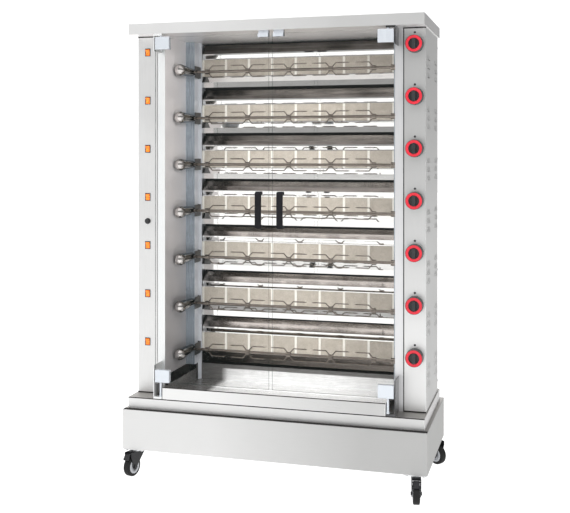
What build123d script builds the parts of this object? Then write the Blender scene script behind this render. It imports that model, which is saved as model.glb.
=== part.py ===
from build123d import *
import os
from math import cos, hypot, radians, sin

# Free-standing gas rotisserie with glass doors. Millimetres, +Z up, +X to the operator's right,
# +Y away from the operator. The origin is on the floor, under the middle of the overall box.
# Every piece is drawn with y = 0 at the front of the covers and moved to the origin when it is written.

# Cabinet
COVER_W = 1207.0
COVER_D = 480.0
COVER_H = 45.0
BASE_D = 545.0
BASE_H = 160.0
BASE_SIDE_LIP = 13.5
BASE_FRONT_LIP = 27.0
FLOOR_SHEET = 3.0
CASTOR_H = 108.0
COLUMN_W = 86.0
COLUMN_INSET = 5.5
COLUMN_SETBACK = 84.0
COLUMN_REAR = 28.0
SHEET = 1.5
EDGE_R = 2.0
JAMB_W = 34.0
JAMB_GAP = 2.0
POST_W = 40.0
POST_BEHIND_SPIT = 16.0
WALL_FOOT = 74.0

# Rows of spits, burners, knobs and switches
ROWS = 7
ROW_PITCH = 200.0
CEILING_TO_SPIT = 132.0
SPIT_TO_LEDGE = 145.0
BURNER_OVER_SPIT = 23.0
CONTROL_OVER_SPIT = 67.0

# Burners and reflectors
BURNER_D = 66.5
BURNER_SIDE_GAP = 9.8
PLATES = 8
PLATE_H = 74.0
PLATE_T = 13.0
PLATE_RECESS = 2.0
JOINT_W = 10.0
BURNER_RIM = 8.0
BURNER_WALL = 2.0
PLATE_LEDGE = 4.0
PLATE_LEDGE_T = 3.0
REFLECTOR_SHEET = 1.2
REFLECTOR_SIDE_GAP = 12.0
REFLECTOR_TAB = 4.0
HOOD_REACH = 4.0
HOOD_DROP = 15.0
HOOD_LIP_H = 6.0
HOOD_ROOF_H = 40.0
HOOD_ROOF_D = 26.0
SKIRT_REACH = 8.0
SKIRT_DROP = 22.0
SKIRT_LIP_H = 23.0
SKIRT_RETURN_D = 30.0

# Spits
SPIT_TO_BURNER = 84.0
SPIT_R = 6.0
RUN_CLEAR = 0.05
FORK_HUB_R = 11.0
FORK_HUB_W = 17.0
PRONG_R = 2.3
PRONG_REACH = 25.0
PRONG_SLANT = 15.0
PRONG_L = 50.0
PRONG_TIP_L = 9.0
PRONG_TIP_R = 0.6
FORK_FROM_POST = 74.0
FORK_SHIFT = -8.0
DOUBLE_FORKS = 3
THUMB_STEM_R = 2.5
THUMB_STEM_L = 12.0
THUMB_HEAD_R = 6.0
THUMB_HEAD_T = 3.0
SPIT_ROLLS = (90.0, 78.0, 97.0, 66.0, 90.0, 104.0, 84.0)
SOCKET_R = 12.0
SOCKET_L = 45.0
SOCKET_WALL_GAP = 6.0
SHAFT_R = 5.0
SHAFT_DEPTH = 20.0
SHAFT_HOLE_R = 7.0

# Grips and brackets at the left end of the spits
GRIP_FROM_WALL = 26.0
GRIP_NOSE_R = 25.0
GRIP_END_R = 17.0
GRIP_L = 158.0
GRIP_SOCKET = 11.0
BRACKET_T = 3.0
BRACKET_FROM_POST = 14.0
BRACKET_H = 50.0
BRACKET_NOSE = 12.0
BRACKET_REAR_GAP = 18.8
NOTCH_CLEAR = 0.5

# Spit motors
GEARBOX_SIZE = 60.0
GEARBOX_W = 45.0
MOTOR_R = 25.0
MOTOR_L = 45.0

# Gas
VALVE_W = 40.0
VALVE_D = 50.0
VALVE_BORE = 32.0
MANIFOLD_R = 13.5
MANIFOLD_GAP = 16.0
MANIFOLD_STUB_R = 8.0
MANIFOLD_OVER_LEDGE = 90.0
MANIFOLD_HEAD = 30.0
INLET_R = 10.4775
INLET_L = 22.0
INLET_NECK_R = 9.5
INLET_NECK_L = 1.5
INLET_HOLE_CLEAR = 0.2
FEED_R = 5.0
FEED_SIDE = 15.0
FEED_BURNER_IN = 28.0
FEED_HOLE_CLEAR = 0.5

# Knobs
KNOB_R = 34.0
KNOB_FRONT_R = 33.0
KNOB_D = 31.0
KNOB_GAP = 1.0
KNOB_RING_IN = 21.0
KNOB_RING_OUT = 31.5
KNOB_RING_T = 1.5
KNOB_BAR_W = 15.0
KNOB_BAR_L = 39.0
KNOB_BAR_D = 12.0
KNOB_POCKET_D = 6.0
KNOB_STEM_R = 4.0
KNOB_STEM_L = 28.0
PANEL_HOLE_CLEAR = 2.0

# Switches and igniter
SWITCH_W = 23.0
SWITCH_H = 32.0
SWITCH_BEZEL_T = 2.5
SWITCH_BODY_D = 22.0
SWITCH_REBATE = 1.0
SWITCH_WALL = 1.5
SWITCH_BACK_T = 5.0
ROCKER_CLEAR = 0.3
ROCKER_DISH = 8.0
ROCKER_FRONT = 3.0
ROCKER_BACK = 6.0
ROCKER_PIVOT_BACK = 2.0
ROCKER_PIN_R = 1.5
ROWS_ABOVE_IGNITER = 4
COLLAR_R = 12.0
COLLAR_T = 4.0
IGNITER_BODY_R = 10.0
IGNITER_BODY_L = 36.0
BUTTON_R = 8.0
BUTTON_OUT = 10.0
BUTTON_IN = 14.0
BUTTON_TRAVEL = 5.0
GLAND_R = 12.0
GLAND_NUT_L = 10.0
GLAND_CAP_L = 12.0
GLAND_SHANK_R = 8.0
GLAND_SHANK_L = 12.0
GLAND_BORE_R = 5.0

# Doors
GLASS_T = 6.0
DOOR_SETBACK = 8.0
DOOR_OVER_WALL = 9.0
DOOR_GAP = 14.0
DOOR_TOP_GAP = 14.0
DOOR_FOOT_GAP = 67.0
CLAMP_W = 62.0
CLAMP_H = 51.0
CLAMP_PLATE = 5.0
CLAMP_CAP = 1.5
PIN_FROM_EDGE = 23.0
PIN_R = 5.0
PIN_END_GAP = 0.5
PIN_COLLAR_R = 7.0
PIN_COLLAR_H = 6.0
PIN_REST_GAP = 0.2
HINGE_PLATE_T = 3.0
HINGE_PLATE_GAP = 3.0
HINGE_TOP_H = 70.0
HINGE_FOOT_H = 135.0
HINGE_LUG_T = 8.0
HINGE_LUG_D = 20.0
HINGE_LUG_RIM = 1.8
CLIP_W = 42.0
CLIP_H = 14.0
CLIP_PLATE = 1.5
CLIP_FROM_EDGE = 3.0
MAGNET_D = 14.0
MAGNET_H = 25.0
MAGNET_GAP = 0.3
HANDLE_FROM_EDGE = 37.0
HANDLE_FOOT_OVER_LEDGE = 698.0
HANDLE_L = 146.0
HANDLE_W = 25.0
HANDLE_REACH = 24.0
HANDLE_BAR = 9.0
HANDLE_LEG = 14.0
HANDLE_OUT_R = 12.0
HANDLE_EDGE_R = 3.5
HANDLE_IN_R = 6.0
HANDLE_SCREW_R = 3.0
HANDLE_HEAD_R = 7.0
HANDLE_HEAD_T = 3.0

# Drip tray
TRAY_SIDE_GAP = 23.0
TRAY_REAR_GAP = 75.5
TRAY_H = 45.0
TRAY_BACK_H = 70.0
TRAY_LIP = 14.0
BEADS = 2
BEAD_W = 10.0
BEAD_H = 2.5
BEAD_MARGIN = 12.0

# Castors
CASTOR_SIDE_IN = 47.0
CASTOR_END_IN = 35.0
CASTOR_TRAIL = 30.0
CASTOR_TURNS = {"front_left": 255.0, "front_right": 280.0, "rear_left": 215.0, "rear_right": 325.0}
BRAKED = ("front_left", "front_right")
CASTOR_PLATE_X = 84.0
CASTOR_PLATE_Y = 64.0
CASTOR_PLATE_T = 3.0
RACE_R = 25.0
RACE_H = 6.8
SWIVEL_GAP = 0.2
KING_R = 6.0
KING_HEAD_R = 10.0
KING_HEAD_H = 4.0
CROWN_T = 8.0
CROWN_BACK = 28.0
CROWN_FRONT = 38.0
FORK_INSIDE = 30.0
FORK_PLATE = 3.0
FORK_TOE = 54.0
FORK_EYE_R = 12.0
AXLE_R = 4.0
AXLE_HEAD_R = 7.0
AXLE_HEAD_T = 3.0
WHEEL_TOP_GAP = 10.0
TYRE_W = 26.0
TYRE_T = 12.0
TYRE_ROUND = 5.0
HUB_W = 28.0
HUB_RIM_W = 8.0
HUB_DISH_D = 4.0
PEDAL_X = 46.0
PEDAL_DROP = 11.0
PEDAL_W = 24.0
PEDAL_EYE_R = 5.0
PEDAL_PIN_R = 3.0
PEDAL_L = 23.0
PEDAL_FALL = 16.0
PEDAL_T = 6.0

# Louvres and fasteners
LOUVRE_L = 60.0
LOUVRE_H = 20.0
LOUVRE_OUT = 4.5
LOUVRE_SKIN = 1.2
LOUVRE_PITCH = 34.0
LOUVRES_PER_ROW = 3
LOUVRE_UNDER_SPIT = 47.0
LOUVRE_FROM_FRONT = 41.0
LOUVRE_FROM_BACK = 38.0
SCREW_R = 4.0
SCREW_H = 2.2
SCREW_EDGE = 12.0
SCREW_END = 45.0
SCREWS_PER_EDGE = 4
BOLT_R = 6.0
BOLT_H = 4.0
BOLT_EDGE = 9.0

# Worked out from the sizes above
BASE_W = COVER_W + 2 * BASE_SIDE_LIP
BASE_TOP_Z = CASTOR_H + BASE_H
LEDGE_Z = BASE_TOP_Z + COVER_H
CEILING_Z = LEDGE_Z + SPIT_TO_LEDGE + (ROWS - 1) * ROW_PITCH + CEILING_TO_SPIT
TOP_Z = CEILING_Z + COVER_H
COLUMN_OUT_X = COVER_W / 2 - COLUMN_INSET
COLUMN_IN_X = COLUMN_OUT_X - COLUMN_W
COLUMN_MID_X = COLUMN_OUT_X - COLUMN_W / 2
COLUMN_BACK_Y = COVER_D - COLUMN_REAR
WALL_X = COLUMN_IN_X - JAMB_W
POST_X = WALL_X - POST_W
PANEL_BACK_Y = COLUMN_SETBACK + SHEET
BACK_PANEL_Y = COLUMN_BACK_Y - SHEET
BURNER_SETBACK = BACK_PANEL_Y - BURNER_D
REFLECTOR_SEAT_Y = BURNER_SETBACK - REFLECTOR_SHEET
REFLECTOR_FRONT_Y = REFLECTOR_SEAT_Y - SKIRT_REACH
SPIT_SETBACK = BURNER_SETBACK - SPIT_TO_BURNER
POST_SETBACK = SPIT_SETBACK + POST_BEHIND_SPIT
TRAY_D = BACK_PANEL_Y - TRAY_REAR_GAP
SPIT_ZS = [CEILING_Z - CEILING_TO_SPIT - row * ROW_PITCH for row in range(ROWS)]
BURNER_ZS = [z + BURNER_OVER_SPIT for z in SPIT_ZS]
CONTROL_ZS = [z + CONTROL_OVER_SPIT for z in SPIT_ZS]
IGNITER_Z = CONTROL_ZS[0] - (ROWS_ABOVE_IGNITER - 0.5) * ROW_PITCH
BURNER_W = 2 * (POST_X - BURNER_SIDE_GAP)
PLATE_W = (BURNER_W - (PLATES + 1) * JOINT_W) / PLATES
FORK_SPAN = 2 * (POST_X - FORK_FROM_POST)
GRIP_X = -WALL_X + GRIP_FROM_WALL
SOCKET_END_X = WALL_X - SOCKET_WALL_GAP
MANIFOLD_Y = PANEL_BACK_Y + VALVE_D + MANIFOLD_GAP + MANIFOLD_R
MANIFOLD_FOOT_Z = LEDGE_Z + MANIFOLD_OVER_LEDGE
FEED_X = COLUMN_MID_X - VALVE_W / 2 - FEED_SIDE
FEED_Y = BURNER_SETBACK + FEED_BURNER_IN
DOOR_EDGE_X = WALL_X + DOOR_OVER_WALL
GLASS_FRONT_Y = DOOR_SETBACK - GLASS_T / 2
GLASS_BACK_Y = DOOR_SETBACK + GLASS_T / 2
DOOR_FOOT_Z = LEDGE_Z + DOOR_FOOT_GAP
DOOR_TOP_Z = CEILING_Z - DOOR_TOP_GAP
PIN_X = DOOR_EDGE_X - PIN_FROM_EDGE
HANDLE_X = DOOR_GAP / 2 + HANDLE_FROM_EDGE
HANDLE_FOOT_Z = LEDGE_Z + HANDLE_FOOT_OVER_LEDGE
TRAY_HALF_W = WALL_X - TRAY_SIDE_GAP
CROWN_TOP_Z = CASTOR_H - CASTOR_PLATE_T - RACE_H - SWIVEL_GAP
WHEEL_R = (CROWN_TOP_Z - CROWN_T - WHEEL_TOP_GAP) / 2
HUB_DISH_R = WHEEL_R - TYRE_T - HUB_RIM_W
CASTOR_FRONT_Y = CASTOR_END_IN - BASE_FRONT_LIP


def wheel_reach(turn, heading):
    """How far a castor's tyre reaches from its swivel axis towards a heading, in degrees."""
    angle = radians(turn - heading)
    along = CASTOR_TRAIL + WHEEL_R - TYRE_ROUND
    across = TYRE_W / 2 - TYRE_ROUND
    return along * cos(angle) + across * abs(sin(angle)) + TYRE_ROUND


# The overall box runs from the door handles or the foremost castor to the back of the base
FORWARD = 270.0
FRONT_REACH = max([HANDLE_REACH] + [wheel_reach(CASTOR_TURNS[name], FORWARD) - CASTOR_FRONT_Y
                                    for name in BRAKED])
OVERALL_D = FRONT_REACH + BASE_D - BASE_FRONT_LIP
FRONT_Y = FRONT_REACH - OVERALL_D / 2


def block(x0, x1, y0, y1, z0, z1):
    """Box between two corners."""
    middle = ((x0 + x1) / 2, (y0 + y1) / 2, (z0 + z1) / 2)
    return Pos(*middle) * Box(abs(x1 - x0), abs(y1 - y0), abs(z1 - z0))


def bar(start, end, radius):
    """Round bar between two points."""
    run = Vector(*end) - Vector(*start)
    plane = Plane(origin=start, z_dir=run)
    return plane * Cylinder(radius, run.length, align=(Align.CENTER, Align.CENTER, Align.MIN))


def bent_bar(points, radius):
    """Round bar along straight runs, with a ball at each corner."""
    solid = bar(points[0], points[1], radius)
    for corner, after in zip(points[1:-1], points[2:]):
        solid += Pos(*corner) * Sphere(radius)
        solid += bar(corner, after, radius)
    return solid


def prism(points, plane, start, length):
    """Outline on a plane, drawn out along the plane's normal from start."""
    face = make_face(Polyline(*points, close=True))
    return extrude(plane.offset(start) * face, amount=length)


def sheet_outline(points, thickness):
    """Closed outline of a folded sheet that lies to the left of an open run of points."""
    normals = []
    for (ax, ay), (bx, by) in zip(points, points[1:]):
        length = hypot(bx - ax, by - ay)
        normals.append((-(by - ay) / length, (bx - ax) / length))
    offset = []
    for index, (px, py) in enumerate(points):
        before = normals[max(index - 1, 0)]
        after = normals[min(index, len(normals) - 1)]
        share = 1 + before[0] * after[0] + before[1] * after[1]
        step_x = (before[0] + after[0]) / share
        step_y = (before[1] + after[1]) / share
        offset.append((px + step_x * thickness, py + step_y * thickness))
    return list(points) + offset[::-1]


def lid(half_w, y0, y1, z0, z1):
    """Sheet box with rounded upper edges and corners, open below."""
    outer = block(-half_w, half_w, y0, y1, z0, z1)
    outer = fillet(outer.edges().filter_by(Axis.Z), EDGE_R)
    outer = fillet(outer.faces().sort_by(Axis.Z)[-1].edges(), EDGE_R)
    return outer - block(-half_w + SHEET, half_w - SHEET, y0 + SHEET, y1 - SHEET, z0, z1 - SHEET)


def both_sides(shape):
    """The right-hand piece and its mirror image."""
    return [shape, mirror(shape, about=Plane.YZ)]


def side_of(shape, side):
    """The right-hand piece, mirrored for the left side."""
    return shape if side > 0 else mirror(shape, about=Plane.YZ)


def write(name, shapes):
    """Move the pieces to the origin and write them as one node."""
    solids = []
    for shape in shapes:
        solids += [Pos(0, FRONT_Y, 0) * solid for solid in shape.solids()]
    export_step(Compound(children=solids), f"parts/{name}.step")


def base_box():
    half = BASE_W / 2
    back = BASE_D - BASE_FRONT_LIP
    shell = lid(half, -BASE_FRONT_LIP, back, CASTOR_H, BASE_TOP_Z)
    floor = block(-half + SHEET, half - SHEET, -BASE_FRONT_LIP + SHEET, back - SHEET,
                  CASTOR_H, CASTOR_H + FLOOR_SHEET)
    return [shell, floor]


def lower_cover():
    return [lid(COVER_W / 2, 0, COVER_D, BASE_TOP_Z, LEDGE_Z)]


def top_cover():
    inner = COVER_W / 2 - SHEET
    shell = lid(COVER_W / 2, 0, COVER_D, CEILING_Z, TOP_Z)
    ceiling = block(-inner, inner, SHEET, COVER_D - SHEET, CEILING_Z, CEILING_Z + SHEET)
    return [shell, ceiling]


def louvres():
    """Pressed louvres on the outer face of the right column: bumps to add, hollows to cut."""
    bump = [(0, LOUVRE_H / 2), (LOUVRE_OUT, -LOUVRE_H / 2), (0, -LOUVRE_H / 2)]
    hollow = [(-SHEET, LOUVRE_H / 2 - 2 * LOUVRE_SKIN), (0, LOUVRE_H / 2 - 2 * LOUVRE_SKIN),
              (LOUVRE_OUT - LOUVRE_SKIN, -LOUVRE_H / 2), (-SHEET, -LOUVRE_H / 2)]
    bumps = []
    hollows = []
    for z in SPIT_ZS:
        for step in range(LOUVRES_PER_ROW):
            level = z - LOUVRE_UNDER_SPIT + step * LOUVRE_PITCH
            for middle in (COLUMN_SETBACK + LOUVRE_FROM_FRONT + LOUVRE_L / 2,
                           COLUMN_BACK_Y - LOUVRE_FROM_BACK - LOUVRE_L / 2):
                place = Pos(COLUMN_OUT_X, middle, level)
                bumps.append(place * prism(bump, Plane.XZ, -LOUVRE_L / 2, LOUVRE_L))
                inner = LOUVRE_L - 2 * LOUVRE_SKIN
                hollows.append(place * prism(hollow, Plane.XZ, -inner / 2, inner))
    return bumps, hollows


def column_casing():
    """Right column: front, side and back of one folded sheet."""
    run = [(COLUMN_IN_X, COLUMN_SETBACK), (COLUMN_OUT_X, COLUMN_SETBACK),
           (COLUMN_OUT_X, COLUMN_BACK_Y), (COLUMN_IN_X, COLUMN_BACK_Y)]
    casing = prism(sheet_outline(run, SHEET), Plane.XY, LEDGE_Z, CEILING_Z - LEDGE_Z)
    bends = [edge for edge in casing.edges().filter_by(Axis.Z)
             if abs(edge.center().X - COLUMN_OUT_X) < SHEET / 2]
    casing = fillet(bends, EDGE_R)
    bumps, hollows = louvres()
    return casing + bumps - hollows


def right_column(casing):
    holes = []
    for z in CONTROL_ZS:
        radius = KNOB_STEM_R + PANEL_HOLE_CLEAR
        holes.append(bar((COLUMN_MID_X, COLUMN_SETBACK, z), (COLUMN_MID_X, PANEL_BACK_Y, z), radius))
    inlet_start = (COLUMN_MID_X, BACK_PANEL_Y, MANIFOLD_FOOT_Z)
    inlet_end = (COLUMN_MID_X, COLUMN_BACK_Y, MANIFOLD_FOOT_Z)
    holes.append(bar(inlet_start, inlet_end, INLET_R + INLET_HOLE_CLEAR))
    return [casing - holes]


def left_column(casing):
    holes = []
    half_w = SWITCH_W / 2 - SWITCH_REBATE
    half_h = SWITCH_H / 2 - SWITCH_REBATE
    for z in CONTROL_ZS:
        holes.append(block(-COLUMN_MID_X - half_w, -COLUMN_MID_X + half_w,
                           COLUMN_SETBACK, PANEL_BACK_Y, z - half_h, z + half_h))
    holes.append(bar((-COLUMN_MID_X, COLUMN_SETBACK, IGNITER_Z), (-COLUMN_MID_X, PANEL_BACK_Y, IGNITER_Z),
                     IGNITER_BODY_R))
    holes.append(bar((-COLUMN_MID_X, BACK_PANEL_Y, MANIFOLD_FOOT_Z),
                     (-COLUMN_MID_X, COLUMN_BACK_Y, MANIFOLD_FOOT_Z), GLAND_SHANK_R))
    return [side_of(casing, -1) - holes]


def wall_sheet():
    """Right chamber wall: jamb flange, side wall, step and return, clear of the tray at its foot."""
    run = [(POST_X, BACK_PANEL_Y), (POST_X, POST_SETBACK), (WALL_X, POST_SETBACK),
           (WALL_X, COLUMN_SETBACK), (COLUMN_IN_X - JAMB_GAP, COLUMN_SETBACK)]
    wall = prism(sheet_outline(run, SHEET), Plane.XY, LEDGE_Z, CEILING_Z - LEDGE_Z)
    foot = block(POST_X, WALL_X + SHEET, PANEL_BACK_Y, BACK_PANEL_Y, LEDGE_Z, LEDGE_Z + WALL_FOOT)
    return wall - foot


def right_chamber_wall(wall):
    holes = []
    for spit_z, burner_z in zip(SPIT_ZS, BURNER_ZS):
        holes.append(bar((WALL_X, SPIT_SETBACK, spit_z), (WALL_X + SHEET, SPIT_SETBACK, spit_z),
                         SHAFT_HOLE_R))
        holes.append(bar((POST_X, FEED_Y, burner_z), (POST_X + SHEET, FEED_Y, burner_z),
                         FEED_R + FEED_HOLE_CLEAR))
    return [wall - holes]


def left_chamber_wall(wall):
    return [side_of(wall, -1)]


def back_panel():
    return [block(-COLUMN_IN_X, COLUMN_IN_X, BACK_PANEL_Y, COLUMN_BACK_Y, LEDGE_Z, CEILING_Z)]


def plate_centres():
    pitch = PLATE_W + JOINT_W
    return [(place - (PLATES - 1) / 2) * pitch for place in range(PLATES)]


def burner_housings():
    """Pans on the back panel, each with a pocket and a ledge for every plate and room for gas behind."""
    half_w = BURNER_W / 2
    half_h = PLATE_H / 2 + BURNER_RIM
    pan = block(-half_w, half_w, BURNER_SETBACK, BACK_PANEL_Y, -half_h, half_h)
    seat = BURNER_SETBACK + PLATE_RECESS + PLATE_T
    room = seat + PLATE_LEDGE_T
    pan -= block(-half_w + BURNER_WALL, half_w - BURNER_WALL, room, BACK_PANEL_Y,
                 -half_h + BURNER_WALL, half_h - BURNER_WALL)
    cuts = []
    for x in plate_centres():
        cuts.append(block(x - PLATE_W / 2, x + PLATE_W / 2, BURNER_SETBACK, seat, -PLATE_H / 2, PLATE_H / 2))
        throat_w = PLATE_W / 2 - PLATE_LEDGE
        throat_h = PLATE_H / 2 - PLATE_LEDGE
        cuts.append(block(x - throat_w, x + throat_w, seat, room, -throat_h, throat_h))
    pan -= cuts
    return [Pos(0, 0, z) * pan for z in BURNER_ZS]


def ceramic_plates():
    front = BURNER_SETBACK + PLATE_RECESS
    plates = []
    for z in BURNER_ZS:
        for x in plate_centres():
            plates.append(block(x - PLATE_W / 2, x + PLATE_W / 2, front, front + PLATE_T,
                                z - PLATE_H / 2, z + PLATE_H / 2))
    return plates


def burner_reflectors():
    """A hood over each burner and a skirt under it, folded from polished sheet."""
    seat = REFLECTOR_SEAT_Y
    rim = PLATE_H / 2
    tab = rim + REFLECTOR_TAB
    brow = seat - HOOD_REACH
    brow_z = tab + HOOD_DROP
    hood = [(brow + HOOD_ROOF_D, brow_z + HOOD_LIP_H + HOOD_ROOF_H), (brow, brow_z + HOOD_LIP_H),
            (brow, brow_z), (seat, tab), (seat, rim)]
    lip = REFLECTOR_FRONT_Y
    lip_z = tab + SKIRT_DROP
    skirt = [(seat, -rim), (seat, -tab), (lip, -lip_z), (lip, -lip_z - SKIRT_LIP_H),
             (lip + SKIRT_RETURN_D, -lip_z - SKIRT_LIP_H)]
    half = POST_X - REFLECTOR_SIDE_GAP
    pieces = []
    for run in (hood, skirt):
        piece = prism(sheet_outline(run, REFLECTOR_SHEET), Plane.YZ, -half, 2 * half)
        pieces += [Pos(0, 0, z) * piece for z in BURNER_ZS]
    return pieces


def spit_brackets():
    """Notched plates that carry the rods, each bent over to the return of the left wall."""
    right = -POST_X + BRACKET_FROM_POST
    left = right - BRACKET_T
    front = SPIT_SETBACK - BRACKET_NOSE
    back = REFLECTOR_FRONT_Y - BRACKET_REAR_GAP
    plate = block(left, right, front, back, -BRACKET_H / 2, BRACKET_H / 2)
    plate += block(-POST_X, left, back - BRACKET_T, back, -BRACKET_H / 2, BRACKET_H / 2)
    notch_r = SPIT_R + NOTCH_CLEAR
    plate -= block(left, right, front, SPIT_SETBACK, -notch_r, notch_r)
    plate -= bar((left, SPIT_SETBACK, 0), (right, SPIT_SETBACK, 0), notch_r)
    return [Pos(0, 0, z) * plate for z in SPIT_ZS]


def spit_grips():
    """Round-nosed grips on the step of the left wall, each with a cross bore for its rod."""
    dome = GRIP_NOSE_R
    outline = Polyline((0, -GRIP_L + dome), (dome, -GRIP_L + dome), (GRIP_END_R, 0), (0, 0), close=True)
    grip = revolve(make_face(outline), Axis.Y)
    grip += Pos(0, -GRIP_L + dome, 0) * Sphere(dome)
    grip = Pos(GRIP_X, POST_SETBACK, 0) * grip
    bore_start = (GRIP_X - GRIP_SOCKET, SPIT_SETBACK, 0)
    bore_end = (GRIP_X + GRIP_NOSE_R, SPIT_SETBACK, 0)
    grip -= bar(bore_start, bore_end, SPIT_R + RUN_CLEAR)
    return [Pos(0, 0, z) * grip for z in SPIT_ZS]


def prong_tip(end, way):
    """Point on the end of a prong."""
    point = Cone(PRONG_R, PRONG_TIP_R, PRONG_TIP_L, align=(Align.CENTER, Align.CENTER, Align.MIN))
    return Plane(origin=end, z_dir=(way, 0, 0)) * point


def fork(ways):
    """Fork on its hub along X: two prongs for each way in ways, which is +1 or -1."""
    body = bar((-FORK_HUB_W / 2, 0, 0), (FORK_HUB_W / 2, 0, 0), FORK_HUB_R)
    root = FORK_HUB_R - PRONG_R
    for way in ways:
        for up in (1, -1):
            start = way * (FORK_HUB_W / 2 - PRONG_R)
            bend = start + way * PRONG_SLANT
            end = (bend + way * PRONG_L, 0, up * PRONG_REACH)
            body += bent_bar([(start, 0, up * root), (bend, 0, up * PRONG_REACH), end], PRONG_R)
            body += prong_tip(end, way)
    return body - bar((-FORK_HUB_W, 0, 0), (FORK_HUB_W, 0, 0), SPIT_R)


def thumb_screw():
    """Thumb screw that stands on a fork hub, in the fork's own directions."""
    foot = FORK_HUB_R - THUMB_STEM_R
    top = FORK_HUB_R + THUMB_STEM_L
    screw = bar((0, foot, 0), (0, top, 0), THUMB_STEM_R)
    screw += bar((-THUMB_HEAD_T / 2, top, 0), (THUMB_HEAD_T / 2, top, 0), THUMB_HEAD_R)
    return screw


def spit_pieces():
    """Rod, forks and drive socket about the X axis, with the forks at no roll."""
    rod = bar((GRIP_X - GRIP_SOCKET + PIN_END_GAP, 0, 0), (SOCKET_END_X - SOCKET_L / 2, 0, 0), SPIT_R)
    socket = bar((SOCKET_END_X - SOCKET_L, 0, 0), (SOCKET_END_X, 0, 0), SOCKET_R)
    socket += bar((SOCKET_END_X, 0, 0), (WALL_X + SHEET + SHAFT_DEPTH - PIN_END_GAP, 0, 0), SHAFT_R)
    socket -= bar((SOCKET_END_X - SOCKET_L, 0, 0), (SOCKET_END_X - SOCKET_L / 2, 0, 0), SPIT_R)
    left_x = FORK_SHIFT - FORK_SPAN / 2
    step = FORK_SPAN / (DOUBLE_FORKS + 1)
    screw = thumb_screw()
    forks = []
    for x, way in ((left_x, 1), (left_x + FORK_SPAN, -1)):
        forks.append(Pos(x, 0, 0) * (fork((way,)) + screw))
    double = fork((1, -1))
    for place in range(1, DOUBLE_FORKS + 1):
        forks.append(Pos(left_x + place * step, 0, 0) * double)
    return [rod, socket], forks


def spit(turning, forks, row):
    place = Pos(0, SPIT_SETBACK, SPIT_ZS[row])
    roll = Rot(SPIT_ROLLS[row % len(SPIT_ROLLS)] - 90, 0, 0)
    return [place * piece for piece in turning] + [place * roll * piece for piece in forks]


def spit_motors():
    near = WALL_X + SHEET
    half = GEARBOX_SIZE / 2
    motor = block(near, near + GEARBOX_W, SPIT_SETBACK - half, SPIT_SETBACK + half, -half, half)
    motor += bar((near + GEARBOX_W, SPIT_SETBACK, 0), (near + GEARBOX_W + MOTOR_L, SPIT_SETBACK, 0), MOTOR_R)
    motor -= bar((near, SPIT_SETBACK, 0), (near + SHAFT_DEPTH, SPIT_SETBACK, 0), SHAFT_R + RUN_CLEAR)
    return [Pos(0, 0, z) * motor for z in SPIT_ZS]


def gas_valves():
    """A valve behind each knob, and the tube that feeds its burner."""
    half = VALVE_W / 2
    valve = block(-half, half, PANEL_BACK_Y, PANEL_BACK_Y + VALVE_D, -half, half)
    valve -= bar((0, PANEL_BACK_Y, 0), (0, PANEL_BACK_Y + VALVE_BORE, 0), KNOB_STEM_R + RUN_CLEAR)
    pieces = []
    outlet_y = PANEL_BACK_Y + VALVE_D / 2
    for control_z, burner_z in zip(CONTROL_ZS, BURNER_ZS):
        pieces.append(Pos(COLUMN_MID_X, 0, control_z) * valve)
        pieces.append(bent_bar([(COLUMN_MID_X - half, outlet_y, control_z), (FEED_X, outlet_y, control_z),
                                (FEED_X, FEED_Y, control_z), (FEED_X, FEED_Y, burner_z),
                                (BURNER_W / 2, FEED_Y, burner_z)], FEED_R))
    return pieces


def gas_manifold():
    """Upright pipe with a stub to each valve, and an inlet at the back behind a narrow neck."""
    x = COLUMN_MID_X
    foot = (x, MANIFOLD_Y, MANIFOLD_FOOT_Z)
    pipe = bent_bar([(x, MANIFOLD_Y, CONTROL_ZS[0] + MANIFOLD_HEAD), foot,
                     (x, BACK_PANEL_Y, MANIFOLD_FOOT_Z)], MANIFOLD_R)
    pipe += [bar((x, PANEL_BACK_Y + VALVE_D, z), (x, MANIFOLD_Y, z), MANIFOLD_STUB_R) for z in CONTROL_ZS]
    shoulder = (x, COLUMN_BACK_Y + INLET_NECK_L, MANIFOLD_FOOT_Z)
    pipe += bar((x, BACK_PANEL_Y, MANIFOLD_FOOT_Z), shoulder, INLET_NECK_R)
    pipe += bar(shoulder, (x, COLUMN_BACK_Y + INLET_L, MANIFOLD_FOOT_Z), INLET_R)
    return [pipe]


def knob(row):
    """Gas knob: skirt with a grip bar in a pocket, its stem, and the ring let into its front."""
    front = COLUMN_SETBACK - KNOB_GAP - KNOB_D
    back = COLUMN_SETBACK - KNOB_GAP
    skirt = Cone(KNOB_R, KNOB_FRONT_R, KNOB_D, align=(Align.CENTER, Align.CENTER, Align.MIN))
    skirt = fillet(skirt.edges().sort_by(Axis.Z)[-1], KNOB_RING_T)
    body = Pos(0, back, 0) * Rot(90, 0, 0) * skirt
    body -= bar((0, front, 0), (0, front + KNOB_POCKET_D, 0), KNOB_RING_IN)
    seat = bar((0, front, 0), (0, front + KNOB_RING_T, 0), KNOB_RING_OUT)
    body -= seat
    ring = seat - bar((0, front, 0), (0, front + KNOB_RING_T, 0), KNOB_RING_IN)
    grip = block(-KNOB_BAR_W / 2, KNOB_BAR_W / 2, front - KNOB_BAR_D + KNOB_POCKET_D, front + KNOB_POCKET_D,
                 -KNOB_BAR_L / 2, KNOB_BAR_L / 2)
    body += fillet(grip.edges().group_by(Axis.Y)[0], EDGE_R)
    body += bar((0, back, 0), (0, back + KNOB_STEM_L, 0), KNOB_STEM_R)
    place = Pos(COLUMN_MID_X, 0, CONTROL_ZS[row])
    return [place * body, place * ring]


def rocker_pivot_y():
    return COLUMN_SETBACK + ROCKER_PIVOT_BACK


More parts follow.
